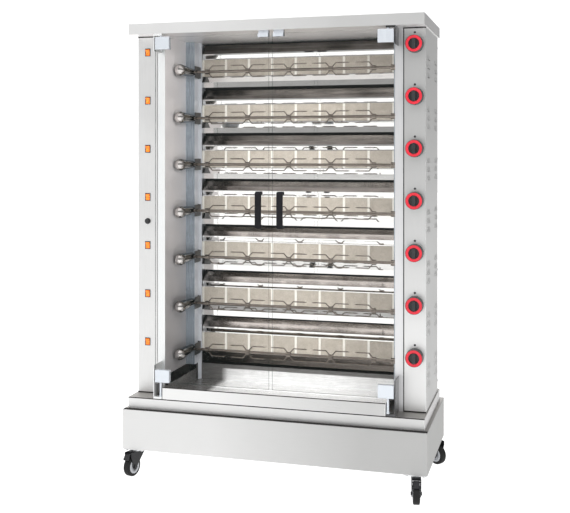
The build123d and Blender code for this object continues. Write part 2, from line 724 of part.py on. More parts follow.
def rocker_half_height():
    """Half height of the switch window, less the room that the rocker turns in."""
    return SWITCH_H / 2 - SWITCH_REBATE - SWITCH_WALL - 2 * ROCKER_CLEAR


def switch_frame():
    """Bezel on the panel and a hollow body behind it, with a bore at each side for the rocker's pin."""
    half_w = SWITCH_W / 2
    half_h = SWITCH_H / 2
    body_w = half_w - SWITCH_REBATE
    body_h = half_h - SWITCH_REBATE
    back = COLUMN_SETBACK + SWITCH_BODY_D
    frame = block(-half_w, half_w, COLUMN_SETBACK - SWITCH_BEZEL_T, COLUMN_SETBACK, -half_h, half_h)
    frame = fillet(frame.edges().group_by(Axis.Y)[0], SWITCH_REBATE)
    frame += block(-body_w, body_w, COLUMN_SETBACK, back, -body_h, body_h)
    frame -= block(-body_w + SWITCH_WALL, body_w - SWITCH_WALL, COLUMN_SETBACK - SWITCH_BEZEL_T,
                   back - SWITCH_BACK_T, -body_h + SWITCH_WALL, body_h - SWITCH_WALL)
    frame -= bar((-body_w, rocker_pivot_y(), 0), (body_w, rocker_pivot_y(), 0), ROCKER_PIN_R + RUN_CLEAR)
    return frame


def rocker(row):
    """Dished rocker on two pins, at rest tilted to one side by its dish angle."""
    radius = rocker_half_height()
    half_w = SWITCH_W / 2 - SWITCH_REBATE - SWITCH_WALL - ROCKER_CLEAR
    tip_y = -ROCKER_FRONT - radius * sin(radians(ROCKER_DISH))
    tip_z = radius * cos(radians(ROCKER_DISH + ROCKER_DISH))
    outline = [(-ROCKER_FRONT, 0), (tip_y, tip_z), (0, radius), (ROCKER_BACK, radius / 2),
               (ROCKER_BACK, -radius / 2), (0, -radius), (tip_y, -tip_z)]
    body = prism(outline, Plane.YZ, -half_w, 2 * half_w)
    pin_end = half_w + SWITCH_WALL
    body += bar((-pin_end, 0, 0), (pin_end, 0, 0), ROCKER_PIN_R)
    place = Pos(-COLUMN_MID_X, rocker_pivot_y(), CONTROL_ZS[row])
    return [place * Rot(ROCKER_DISH, 0, 0) * body]


def igniter_collar():
    x = -COLUMN_MID_X
    front = COLUMN_SETBACK - COLLAR_T
    body_end = COLUMN_SETBACK + IGNITER_BODY_L
    hollow_end = COLUMN_SETBACK + BUTTON_IN + BUTTON_TRAVEL + PIN_END_GAP
    collar = bar((x, front, IGNITER_Z), (x, COLUMN_SETBACK, IGNITER_Z), COLLAR_R)
    collar += bar((x, COLUMN_SETBACK, IGNITER_Z), (x, body_end, IGNITER_Z), IGNITER_BODY_R)
    return collar - bar((x, front, IGNITER_Z), (x, hollow_end, IGNITER_Z), BUTTON_R + RUN_CLEAR)


def cable_gland():
    x = -COLUMN_MID_X
    z = MANIFOLD_FOOT_Z
    nut_end = COLUMN_BACK_Y + GLAND_NUT_L
    cap_end = nut_end + GLAND_CAP_L
    gland = bar((x, COLUMN_BACK_Y - GLAND_SHANK_L, z), (x, COLUMN_BACK_Y, z), GLAND_SHANK_R)
    gland += bar((x, COLUMN_BACK_Y, z), (x, nut_end, z), GLAND_R)
    gland += bar((x, nut_end, z), (x, cap_end, z), (GLAND_R + GLAND_SHANK_R) / 2)
    return gland - bar((x, COLUMN_BACK_Y - GLAND_SHANK_L, z), (x, cap_end, z), GLAND_BORE_R)


def switch_frames():
    frame = switch_frame()
    frames = [Pos(-COLUMN_MID_X, 0, z) * frame for z in CONTROL_ZS]
    return frames + [igniter_collar(), cable_gland()]


def igniter_button():
    start = (-COLUMN_MID_X, COLUMN_SETBACK - BUTTON_OUT, IGNITER_Z)
    end = (-COLUMN_MID_X, COLUMN_SETBACK + BUTTON_IN, IGNITER_Z)
    button = bar(start, end, BUTTON_R)
    return [fillet(button.edges().sort_by(Axis.Y)[0], EDGE_R)]


def door_glass(side):
    x0 = DOOR_GAP / 2
    pane = block(x0, DOOR_EDGE_X, GLASS_FRONT_Y, GLASS_BACK_Y, DOOR_FOOT_Z, DOOR_TOP_Z)
    for z in handle_screw_levels():
        pane -= bar((HANDLE_X, GLASS_FRONT_Y, z), (HANDLE_X, GLASS_BACK_Y, z), HANDLE_SCREW_R)
    return [side_of(pane, side)]


def handle_screw_levels():
    return (HANDLE_FOOT_Z + HANDLE_LEG / 2, HANDLE_FOOT_Z + HANDLE_L - HANDLE_LEG / 2)


def door_handle(side):
    """Bow handle in front of the glass, with two screws from behind."""
    front = -HANDLE_REACH
    x0 = HANDLE_X - HANDLE_W / 2
    x1 = HANDLE_X + HANDLE_W / 2
    z0 = HANDLE_FOOT_Z
    z1 = z0 + HANDLE_L
    bow = block(x0, x1, front, GLASS_FRONT_Y, z0, z1)
    bow = fillet(bow.edges().filter_by(Axis.X).group_by(Axis.Y)[0], HANDLE_OUT_R)
    rims = [edge for side_face in bow.faces().filter_by(Axis.X) for edge in side_face.edges()]
    bow = fillet([edge for edge in rims if edge.center().Y < GLASS_FRONT_Y], HANDLE_EDGE_R)
    gap = block(x0, x1, front + HANDLE_BAR, GLASS_FRONT_Y, z0 + HANDLE_LEG, z1 - HANDLE_LEG)
    gap = fillet(gap.edges().filter_by(Axis.X).group_by(Axis.Y)[0], HANDLE_IN_R)
    pieces = [bow - gap]
    for z in handle_screw_levels():
        screw = bar((HANDLE_X, GLASS_FRONT_Y, z), (HANDLE_X, GLASS_BACK_Y, z), HANDLE_SCREW_R)
        screw += bar((HANDLE_X, GLASS_BACK_Y, z), (HANDLE_X, GLASS_BACK_Y + HANDLE_HEAD_T, z), HANDLE_HEAD_R)
        pieces.append(screw)
    return [side_of(piece, side) for piece in pieces]


def glass_slot(z0, z1):
    return block(0, DOOR_EDGE_X, GLASS_FRONT_Y, GLASS_BACK_Y, z0, z1)


def corner_clamp(z0, z1):
    """Chrome clamp over a corner of the glass, before its slot is cut."""
    clamp = block(DOOR_EDGE_X - CLAMP_W, DOOR_EDGE_X, GLASS_FRONT_Y - CLAMP_PLATE,
                  GLASS_BACK_Y + CLAMP_PLATE, z0, z1)
    return fillet(clamp.faces().sort_by(Axis.Y)[0].edges(), EDGE_R)


def door_fittings(side):
    """Corner clamps with their pivot pins, and the strike clip at the upper free corner."""
    slot = glass_slot(DOOR_FOOT_Z, DOOR_TOP_Z)
    top = corner_clamp(DOOR_TOP_Z + CLAMP_CAP - CLAMP_H, DOOR_TOP_Z + CLAMP_CAP) - slot
    top += bar((PIN_X, DOOR_SETBACK, DOOR_TOP_Z + CLAMP_CAP),
               (PIN_X, DOOR_SETBACK, CEILING_Z - PIN_END_GAP), PIN_R)
    foot = corner_clamp(DOOR_FOOT_Z - CLAMP_CAP, DOOR_FOOT_Z - CLAMP_CAP + CLAMP_H) - slot
    foot += bar((PIN_X, DOOR_SETBACK, LEDGE_Z + PIN_END_GAP),
                (PIN_X, DOOR_SETBACK, DOOR_FOOT_Z - CLAMP_CAP), PIN_R)
    rest = LEDGE_Z + HINGE_LUG_T + PIN_REST_GAP
    foot += bar((PIN_X, DOOR_SETBACK, rest), (PIN_X, DOOR_SETBACK, rest + PIN_COLLAR_H), PIN_COLLAR_R)
    clip_x = DOOR_GAP / 2 + CLIP_FROM_EDGE
    clip = block(clip_x, clip_x + CLIP_W, GLASS_FRONT_Y - CLIP_PLATE, GLASS_BACK_Y + CLIP_PLATE,
                 DOOR_TOP_Z + CLIP_PLATE - CLIP_H, DOOR_TOP_Z + CLIP_PLATE) - slot
    return [side_of(piece, side) for piece in (top, foot, clip)]


def hinge_brackets():
    """Plates in front of the jambs, each with a lug that holds a pivot pin."""
    plate_x = DOOR_EDGE_X + HINGE_PLATE_GAP
    lug_x = PIN_X - PIN_R - RUN_CLEAR - HINGE_LUG_RIM
    pieces = []
    for z0, height, lug_z in ((CEILING_Z - HINGE_TOP_H, HINGE_TOP_H, CEILING_Z - HINGE_LUG_T),
                              (LEDGE_Z, HINGE_FOOT_H, LEDGE_Z)):
        plate = block(plate_x, plate_x + HINGE_PLATE_T, 0, COLUMN_SETBACK, z0, z0 + height)
        plate += block(lug_x, plate_x, 0, HINGE_LUG_D, lug_z, lug_z + HINGE_LUG_T)
        plate -= bar((PIN_X, DOOR_SETBACK, lug_z), (PIN_X, DOOR_SETBACK, lug_z + HINGE_LUG_T),
                     PIN_R + RUN_CLEAR)
        pieces += both_sides(plate)
    return pieces


def door_magnets():
    x0 = DOOR_GAP / 2 + CLIP_FROM_EDGE
    y0 = GLASS_BACK_Y + CLIP_PLATE + MAGNET_GAP
    return both_sides(block(x0, x0 + CLIP_W, y0, y0 + MAGNET_D, CEILING_Z - MAGNET_H, CEILING_Z))


def drip_tray():
    half = TRAY_HALF_W
    inner = half - SHEET
    floor = LEDGE_Z + SHEET
    rim = LEDGE_Z + TRAY_H
    pan = block(-half, half, 0, TRAY_D, LEDGE_Z, rim)
    pan = fillet(pan.edges().filter_by(Axis.Z), EDGE_R)
    pan -= block(-inner, inner, SHEET, TRAY_D - SHEET, floor, rim)
    pan += block(-half + EDGE_R, half - EDGE_R, TRAY_D - SHEET, TRAY_D, floor, LEDGE_Z + TRAY_BACK_H)
    pan += block(-inner, inner, SHEET, TRAY_LIP, rim - SHEET, rim)
    bead_half = inner - BEAD_MARGIN
    for place in range(1, BEADS + 1):
        y = place * TRAY_D / (BEADS + 1)
        pan += block(-bead_half, bead_half, y - BEAD_W / 2, y + BEAD_W / 2, floor, floor + BEAD_H)
    return [pan]


def castor_places():
    """Swivel axis of each castor in the plan of the base, by name."""
    x = BASE_W / 2 - CASTOR_SIDE_IN
    back = BASE_D - BASE_FRONT_LIP - CASTOR_END_IN
    return {"front_left": (-x, CASTOR_FRONT_Y), "front_right": (x, CASTOR_FRONT_Y),
            "rear_left": (-x, back), "rear_right": (x, back)}


def at_castor(name, shape):
    """Place a castor piece drawn about the swivel axis, with its trail along +X."""
    x, y = castor_places()[name]
    return Pos(x, y, 0) * Rot(0, 0, CASTOR_TURNS[name]) * shape


def castor_plate():
    """Top plate with the race and the king pin, about the swivel axis."""
    plate_z = CASTOR_H - CASTOR_PLATE_T
    race_z = plate_z - RACE_H
    head_z = CROWN_TOP_Z - CROWN_T - SWIVEL_GAP
    half_x = CASTOR_PLATE_X / 2
    half_y = CASTOR_PLATE_Y / 2
    plate = block(-half_x, half_x, -half_y, half_y, plate_z, CASTOR_H)
    plate += bar((0, 0, race_z), (0, 0, plate_z), RACE_R)
    plate += bar((0, 0, head_z), (0, 0, race_z), KING_R)
    plate += bar((0, 0, head_z - KING_HEAD_H), (0, 0, head_z), KING_HEAD_R)
    return plate


def castor_plates():
    plate = castor_plate()
    return [Pos(x, y, 0) * plate for x, y in castor_places().values()]


def pedal_z():
    return CROWN_TOP_Z - PEDAL_DROP


def castor_fork(name):
    """Crown and two side plates with the wheel's axle."""
    crown_z = CROWN_TOP_Z - CROWN_T
    inside = FORK_INSIDE / 2
    outside = inside + FORK_PLATE
    crown = block(-CROWN_BACK, CROWN_FRONT, -inside, inside, crown_z, CROWN_TOP_Z)
    leg = [(-CROWN_BACK, CROWN_TOP_Z), (FORK_TOE, CROWN_TOP_Z), (FORK_TOE, pedal_z() - PEDAL_EYE_R),
           (CASTOR_TRAIL + FORK_EYE_R, WHEEL_R), (CASTOR_TRAIL + FORK_EYE_R / 2, WHEEL_R - FORK_EYE_R),
           (CASTOR_TRAIL - FORK_EYE_R / 2, WHEEL_R - FORK_EYE_R), (CASTOR_TRAIL - FORK_EYE_R, WHEEL_R),
           (-CROWN_BACK, crown_z)]
    for start in (-outside, inside):
        crown += prism(leg, Plane.XZ, start, FORK_PLATE)
    crown += bar((CASTOR_TRAIL, -outside, WHEEL_R), (CASTOR_TRAIL, outside, WHEEL_R), AXLE_R)
    for way in (1, -1):
        crown += bar((CASTOR_TRAIL, way * outside, WHEEL_R),
                     (CASTOR_TRAIL, way * (outside + AXLE_HEAD_T), WHEEL_R), AXLE_HEAD_R)
    crown -= bar((0, 0, crown_z), (0, 0, CROWN_TOP_Z), KING_R + RUN_CLEAR)
    if name in BRAKED:
        crown -= bar((PEDAL_X, -outside, pedal_z()), (PEDAL_X, outside, pedal_z()), PEDAL_PIN_R + RUN_CLEAR)
    return [at_castor(name, crown)]


def castor_wheel(name):
    """Rubber tyre on a dished hub."""
    turn = Pos(CASTOR_TRAIL, 0, WHEEL_R) * Rot(90, 0, 0)
    rim_r = WHEEL_R - TYRE_T
    tyre = Cylinder(WHEEL_R, TYRE_W)
    tyre = fillet(tyre.edges(), TYRE_ROUND) - Cylinder(rim_r, TYRE_W)
    hub = Cylinder(rim_r, HUB_W) - Cylinder(AXLE_R + RUN_CLEAR, HUB_W)
    dish = Cylinder(HUB_DISH_R, HUB_DISH_D) - Cylinder(AXLE_HEAD_R, HUB_DISH_D)
    offset = (HUB_W - HUB_DISH_D) / 2
    hub -= [Pos(0, 0, offset) * dish, Pos(0, 0, -offset) * dish]
    return [at_castor(name, turn * tyre), at_castor(name, turn * hub)]


def brake_pedal(name):
    """Foot lever on its pin between the fork's side plates."""
    z = pedal_z()
    half = PEDAL_W / 2
    pin_end = FORK_INSIDE / 2 + FORK_PLATE
    lever = bar((PEDAL_X, -half, z), (PEDAL_X, half, z), PEDAL_EYE_R)
    top = z + PEDAL_EYE_R
    knee = PEDAL_X + PEDAL_L / 2
    tip = PEDAL_X + PEDAL_L
    foot = [(PEDAL_X, top), (knee, top), (tip, z - PEDAL_FALL + PEDAL_T), (tip, z - PEDAL_FALL),
            (tip - PEDAL_T, z - PEDAL_FALL), (knee - PEDAL_T / 2, top - PEDAL_T), (PEDAL_X, top - PEDAL_T)]
    lever += prism(foot, Plane.XZ, -half, PEDAL_W)
    lever += bar((PEDAL_X, -pin_end, z), (PEDAL_X, pin_end, z), PEDAL_PIN_R)
    return [at_castor(name, lever)]


def spread(low, high, count):
    return [low + place * (high - low) / (count - 1) for place in range(count)]


def fasteners():
    """Screws at the rear edges of the columns and of the back panel, and the castor bolts."""
    pieces = []
    back_x = COLUMN_IN_X - SCREW_EDGE
    side_y = COLUMN_BACK_Y - SCREW_EDGE
    for z in spread(LEDGE_Z + SCREW_END, CEILING_Z - SCREW_END, SCREWS_PER_EDGE):
        pieces += both_sides(bar((COLUMN_OUT_X, side_y, z), (COLUMN_OUT_X + SCREW_H, side_y, z), SCREW_R))
        pieces += both_sides(bar((back_x, COLUMN_BACK_Y, z), (back_x, COLUMN_BACK_Y + SCREW_H, z), SCREW_R))
    bolt_z = CASTOR_H - CASTOR_PLATE_T
    for x, y in castor_places().values():
        for across in (-1, 1):
            for along in (-1, 1):
                bolt_x = x + across * (CASTOR_PLATE_X / 2 - BOLT_EDGE)
                bolt_y = y + along * (CASTOR_PLATE_Y / 2 - BOLT_EDGE)
                pieces.append(bar((bolt_x, bolt_y, bolt_z - BOLT_H), (bolt_x, bolt_y, bolt_z), BOLT_R))
    return pieces


def main():
    os.makedirs("parts", exist_ok=True)
    casing = column_casing()
    wall = wall_sheet()
    turning, forks = spit_pieces()
    write("base_box", base_box())
    write("lower_cover", lower_cover())
    write("top_cover", top_cover())
    write("left_column", left_column(casing))
    write("right_column", right_column(casing))
    write("left_chamber_wall", left_chamber_wall(wall))
    write("right_chamber_wall", right_chamber_wall(wall))
    write("back_panel", back_panel())
    write("burner_housings", burner_housings())
    write("ceramic_plates", ceramic_plates())
    write("burner_reflectors", burner_reflectors())
    write("spit_brackets", spit_brackets())
    write("spit_grips", spit_grips())
    write("spit_motors", spit_motors())
    write("gas_valves", gas_valves())
    write("gas_manifold", gas_manifold())
    write("switch_frames", switch_frames())
    write("hinge_brackets", hinge_brackets())
    write("door_magnets", door_magnets())
    write("castor_plates", castor_plates())
    write("fasteners", fasteners())
    write("drip_tray", drip_tray())
    write("igniter_button", igniter_button())
    for row in range(ROWS):
        write(f"spit_{row + 1}", spit(turning, forks, row))
        write(f"knob_{row + 1}", knob(row))
        write(f"rocker_{row + 1}", rocker(row))
    for word, side in (("left", -1), ("right", 1)):
        write(f"door_glass_{word}", door_glass(side))
        write(f"door_handle_{word}", door_handle(side))
        write(f"door_fittings_{word}", door_fittings(side))
    for name in CASTOR_TURNS:
        write(f"castor_fork_{name}", castor_fork(name))
        write(f"castor_wheel_{name}", castor_wheel(name))
    for name in BRAKED:
        write(f"brake_pedal_{name}", brake_pedal(name))


main()
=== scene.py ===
import math

import bmesh
import bpy
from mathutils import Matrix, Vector

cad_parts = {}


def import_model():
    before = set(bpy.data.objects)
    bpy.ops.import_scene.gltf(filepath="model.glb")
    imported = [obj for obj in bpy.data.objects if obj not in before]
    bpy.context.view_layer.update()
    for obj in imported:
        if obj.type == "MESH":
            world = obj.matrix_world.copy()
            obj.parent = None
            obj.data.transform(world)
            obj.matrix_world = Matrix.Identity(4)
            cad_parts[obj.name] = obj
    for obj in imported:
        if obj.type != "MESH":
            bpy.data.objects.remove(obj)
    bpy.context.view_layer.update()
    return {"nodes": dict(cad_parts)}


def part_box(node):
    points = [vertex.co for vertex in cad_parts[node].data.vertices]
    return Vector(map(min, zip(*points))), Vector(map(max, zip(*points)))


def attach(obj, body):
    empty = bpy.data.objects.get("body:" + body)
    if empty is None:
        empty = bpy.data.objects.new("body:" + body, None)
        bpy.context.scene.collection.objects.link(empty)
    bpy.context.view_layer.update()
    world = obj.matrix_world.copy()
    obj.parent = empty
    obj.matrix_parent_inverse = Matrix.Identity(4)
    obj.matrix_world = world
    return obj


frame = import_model()

# Places in metres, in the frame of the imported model
ROWS = 7
COVER_FRONT_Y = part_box("top_cover")[0].y
PANEL_FRONT_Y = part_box("right_column")[0].y
KNOB_RING_IN = 0.0206
KNOB_RING_OUT = 0.0315
KNOB_RING_BACK = 0.006
KNOB_RING_DEPTH = 0.0012
INDEX_DOT_R = 0.0045
INDEX_DOT_T = 0.0004
INDEX_DOT_OVER_KNOB = 0.0455
JAMB_W = 0.034
POST_W = 0.040
WALL_D = 0.230
FOLD = 0.004
HUB_R = 0.0322
REVEAL_D = 0.017
REVEAL_T = 0.0008
REVEAL_GAP = 0.0003
# Size of the black beads that stand in for the shadow lines at the joints
SEAM_W = 0.004
SEAM_OUT = 0.0006
SHADOW_STRIP_MARGIN = 0.001
LOUVRE_OUT = 0.0045
TRAY_RIM_OVER_LEDGE = 0.045
# The tray lip, this deep, is painted black as shadow.
TRAY_LIP_D = 0.014
TRAY_TOP_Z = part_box("drip_tray")[1].z
GRIP_FRONT_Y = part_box("spit_grips")[0].y
# The lowest skirt of the reflectors, this high, is painted dark as shade.
LOW_SKIRT_H = 0.047
LOW_SKIRT_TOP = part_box("burner_reflectors")[0].z + LOW_SKIRT_H
FACE_SLACK = 0.0002
RIM_SLACK = 0.0005

# A face looks along an axis where this much of its unit normal lies along it
FACING = 0.9
ROOF_FACING = 0.4

# Profile of a printed dot, as shares of its radius and its thickness
DOT_PROFILE = ((1.0, 0.0), (0.92, 1.0), (0.45, 1.3))

# Painted shade, and a painted highlight on the grips, as slow changes of tone over a sheet: an axis, the
# place of the darkest tone and that of the lightest
SHADE_RIGHT = ("X", 0.62, -0.50)
SHADE_LOW = ("Z", 0.45, 1.55)
SHADE_HIGH = ("Z", 1.55, 0.35)
BAND_SHADE = ("Z", 2.3, 0.3)
GRIP_HIGHLIGHT = ("Y", GRIP_FRONT_Y + 0.030, GRIP_FRONT_Y - 0.004)
LOW_SKIRT_SHADE = ("X", -0.6, 0.8)
TRAY_LEFT_SHADE = ("X", -0.345, -0.295)
TRAY_RIM = ("Z", TRAY_TOP_Z - 0.015, TRAY_TOP_Z - 0.021)
FADE_SHARE = 0.7

# Camera, solved from the straight edges of the cabinet in the photograph
CAMERA_PLACE = (1.07393, -3.56683 + COVER_FRONT_Y, 1.30733)
CAMERA_YAW = math.radians(15.853)
CAMERA_LENS = 60.17
CAMERA_SENSOR = 36.0
CAMERA_SHIFT_Y = -0.1815
CAMERA_REACH = 200.0

# Brightness of the studio by direction: bands are where it changes, as shares of a unit direction
EYE_BAND = (0.48, 0.55)
HORIZON_BAND = (-0.06, 0.0)
FRONT_BAND = (-0.45, -0.05)
BEHIND_BAND = (0.03, 0.14)
TURN_BAND = (-0.10, 0.30)
ZENITH_BAND = (0.5, 0.9)
FRONT_DIM = 0.42
FRONT_BRIGHT = 1.35
FRONT_LEFT = 1.22
FRONT_RIGHT = 0.80
BEHIND_LEFT = 1.02
BEHIND_RIGHT = 0.42
ZENITH_EXTRA = 0.35
FLOOR_GLOW = 1.2
FLOOR_HALF = 30.0
BACKDROP_GLOW = 1.1
BACKDROP_R = 28.0
BACKDROP_H = 25.0
BACKDROP_FOOT_Z = -1.0


def socket(bsdf, name, value):
    bsdf.inputs[name].default_value = value


class Maker:
    """Short ways to add and join shader nodes in one material."""

    def __init__(self, name):
        self.material = bpy.data.materials.new(name)
        self.material.use_nodes = True
        self.tree = self.material.node_tree
        self.bsdf = self.tree.nodes["Principled BSDF"]
        self.place = self.add("ShaderNodeTexCoord").outputs["Object"]

    def add(self, kind, **settings):
        node = self.tree.nodes.new(kind)
        for key, value in settings.items():
            setattr(node, key, value)
        return node

    def join(self, source, target):
        self.tree.links.new(source, target)

    def stretched(self, scale):
        """Object coordinates times a scale for each axis."""
        node = self.add("ShaderNodeMapping")
        node.inputs["Scale"].default_value = scale
        self.join(self.place, node.inputs["Vector"])
        return node.outputs["Vector"]

    def noise(self, scale, detail=2.0, rough=0.5, at=None):
        node = self.add("ShaderNodeTexNoise")
        node.inputs["Scale"].default_value = scale
        node.inputs["Detail"].default_value = detail
        node.inputs["Roughness"].default_value = rough
        self.join(at or self.place, node.inputs["Vector"])
        return node.outputs["Fac"]

    def ramp(self, factor, stops):
        """Colours by factor: stops are pairs of a place from 0 to 1 and a colour."""
        node = self.add("ShaderNodeValToRGB")
        elements = node.color_ramp.elements
        while len(elements) < len(stops):
            elements.new(0.5)
        for element, (where, colour) in zip(elements, stops):
            element.position = where
            element.color = (*colour, 1.0)
        self.join(factor, node.inputs["Fac"])
        return node.outputs["Color"]

    def between(self, factor, low, high, start=0.3, end=0.7):
        """A number from low to high as the factor goes from start to end."""
        node = self.add("ShaderNodeMapRange")
        node.inputs["From Min"].default_value = start
        node.inputs["From Max"].default_value = end
        node.inputs["To Min"].default_value = low
        node.inputs["To Max"].default_value = high
        self.join(factor, node.inputs["Value"])
        return node.outputs["Result"]

    def along(self, axis, start, end):
        """A number from 0 to 1 as the place goes from start to end along an axis."""
        split = self.add("ShaderNodeSeparateXYZ")
        self.join(self.place, split.inputs[0])
        return self.between(split.outputs[axis], 0.0, 1.0, start, end)

    def blend(self, first, second, share):
        """Weighted mean of two numbers: share is the weight of the second."""
        node = self.add("ShaderNodeMix", data_type="FLOAT")
        node.inputs[0].default_value = share
        self.join(first, node.inputs[2])
        self.join(second, node.inputs[3])
        return node.outputs[0]

    def least(self, first, second):
        node = self.add("ShaderNodeMath", operation="MINIMUM")
        self.join(first, node.inputs[0])
        self.join(second, node.inputs[1])
        return node.outputs["Value"]

    def bump(self, height, strength, distance):
        node = self.add("ShaderNodeBump")
        node.inputs["Strength"].default_value = strength
        node.inputs["Distance"].default_value = distance
        self.join(height, node.inputs["Height"])
        self.join(node.outputs["Normal"], self.bsdf.inputs["Normal"])

    def colour(self, output):
        self.join(output, self.bsdf.inputs["Base Color"])

    def roughness(self, output):
        self.join(output, self.bsdf.inputs["Roughness"])


def stretch(along, long, fine):
    """Scale of a pattern for each axis: coarse along one and fine across it."""
    return tuple(long if axis == along else fine for axis in "XYZ")


def brushed(name, dark, light, along, rough, grain=0.05, metal=1.0, fade=None, second_fade=None):
    """Brushed sheet: fine lines along one axis, soft clouds, and painted shade as a slow change of tone
    along the fades.
    """
    make = Maker(name)
    lines = make.noise(1.0, 3.0, 0.6, make.stretched(stretch(along, 14.0, 1500.0)))
    clouds = make.noise(5.0, 3.0, 0.55)
    tone = make.blend(lines, clouds, 0.45)
    make.roughness(make.between(tone, rough - 0.05, rough + 0.07))
    if fade:
        level = make.along(*fade)
        if second_fade:
            level = make.least(level, make.along(*second_fade))
        tone = make.blend(tone, level, FADE_SHARE)
    make.colour(make.ramp(tone, [(0.30, dark), (0.70, light)]))
    make.bump(lines, grain, 0.0004)
    socket(make.bsdf, "Metallic", metal)
    return make.material


def polished(name, dark, light, rough):
    """Polished metal with faint wiping marks and smudges."""
    make = Maker(name)
    smears = make.noise(26.0, 4.0, 0.6, make.stretched((0.6, 1.0, 3.0)))
    fine = make.noise(420.0, 2.0)
    make.colour(make.ramp(smears, [(0.25, dark), (0.75, light)]))
    make.roughness(make.between(make.blend(smears, fine, 0.3), rough * 0.6, rough * 1.6))
    make.bump(smears, 0.015, 0.0006)
    socket(make.bsdf, "Metallic", 1.0)
    return make.material


def streaked_reflections(name, dark, light, rough, fade, along="X"):
    """Polished steel with painted reflections as dark and light streaks along one axis, and painted shade
    and highlight as a slow change along the fade.
    """
    make = Maker(name)
    streaks = make.noise(1.0, 4.0, 0.6, make.stretched(stretch(along, 5.0, 90.0)))
    clouds = make.noise(9.0, 3.0)
    tone = make.blend(streaks, clouds, 0.4)
    make.roughness(make.between(tone, rough * 1.5, rough * 0.7))
    tone = make.blend(tone, make.along(*fade), 0.5)
    make.colour(make.ramp(tone, [(0.32, dark), (0.68, light)]))
    make.bump(streaks, 0.03, 0.0006)
    socket(make.bsdf, "Metallic", 1.0)
    return make.material


def moulded(name, dark, light, rough, grain=0.12, scale=1400.0, gloss=0.5):
    """Moulded plastic or rubber with a fine grain and slight dust."""
    make = Maker(name)
    fine = make.noise(scale, 2.0)
    clouds = make.noise(30.0, 3.0)
    make.colour(make.ramp(make.blend(fine, clouds, 0.6), [(0.3, dark), (0.72, light)]))
    make.roughness(make.between(clouds, rough - 0.06, rough + 0.08))
    make.bump(fine, grain, 0.0003)
    socket(make.bsdf, "Specular IOR Level", gloss)
    return make.material


def painted(name, dark, light, rough, gloss=0.5):
    """Paint on pressed steel with a slight orange peel."""
    make = Maker(name)
    peel = make.noise(260.0, 2.0)
    clouds = make.noise(18.0, 4.0)
    make.colour(make.ramp(make.blend(peel, clouds, 0.7), [(0.3, dark), (0.7, light)]))
    make.roughness(make.between(clouds, rough - 0.05, rough + 0.1))
    make.bump(peel, 0.08, 0.0004)
    socket(make.bsdf, "Specular IOR Level", gloss)
    socket(make.bsdf, "Coat Weight", 0.15 * gloss)
    return make.material


def perforated(name, dark, light, hole_pitch, hole_share):
    """Burner ceramic: matt, mottled, with rows of fine holes on the face."""
    make = Maker(name)
    cells = make.add("ShaderNodeTexVoronoi", feature="F1")
    cells.inputs["Scale"].default_value = 1.0
    cells.inputs["Randomness"].default_value = 0.12
    pitch = 1.0 / hole_pitch
    make.join(make.stretched((pitch, 2.0, pitch)), cells.inputs["Vector"])
    holes = make.between(cells.outputs["Distance"], 0.0, 1.0, hole_share, hole_share + 0.12)
    mottle = make.noise(38.0, 4.0, 0.6)
    body = make.ramp(mottle, [(0.3, dark), (0.7, light)])
    mix = make.add("ShaderNodeMix", data_type="RGBA")
    mix.inputs[6].default_value = (dark[0] * 0.42, dark[1] * 0.38, dark[2] * 0.33, 1.0)
    make.join(holes, mix.inputs[0])
    make.join(body, mix.inputs[7])
    make.colour(mix.outputs[2])
    make.roughness(make.between(mottle, 0.82, 0.95))
    make.bump(holes, 0.35, 0.0008)
    return make.material


def glass(name, tint, alpha, rough):
    """Clear pane: mostly see-through, with a faint film and a bright gloss."""
    make = Maker(name)
    film = make.noise(7.0, 4.0, 0.6)
    make.colour(make.ramp(film, [(0.3, tint), (0.7, tuple(min(1.0, part * 1.05) for part in tint))]))
    make.roughness(make.between(film, rough, rough + 0.03))
    make.join(make.between(film, alpha * 0.85, alpha * 1.15), make.bsdf.inputs["Alpha"])
    socket(make.bsdf, "IOR", 1.5)
    return make.material


def lit(name, dark, light, glow):
    """Translucent plastic lit from behind, brighter in the middle of its clouds."""
    make = Maker(name)
    clouds = make.noise(160.0, 2.0)
    colour = make.ramp(clouds, [(0.3, dark), (0.7, light)])
    make.colour(colour)
    make.join(colour, make.bsdf.inputs["Emission Color"])
    socket(make.bsdf, "Emission Strength", glow)
    make.roughness(make.between(clouds, 0.18, 0.3))
    make.bump(clouds, 0.03, 0.0003)
    return make.material


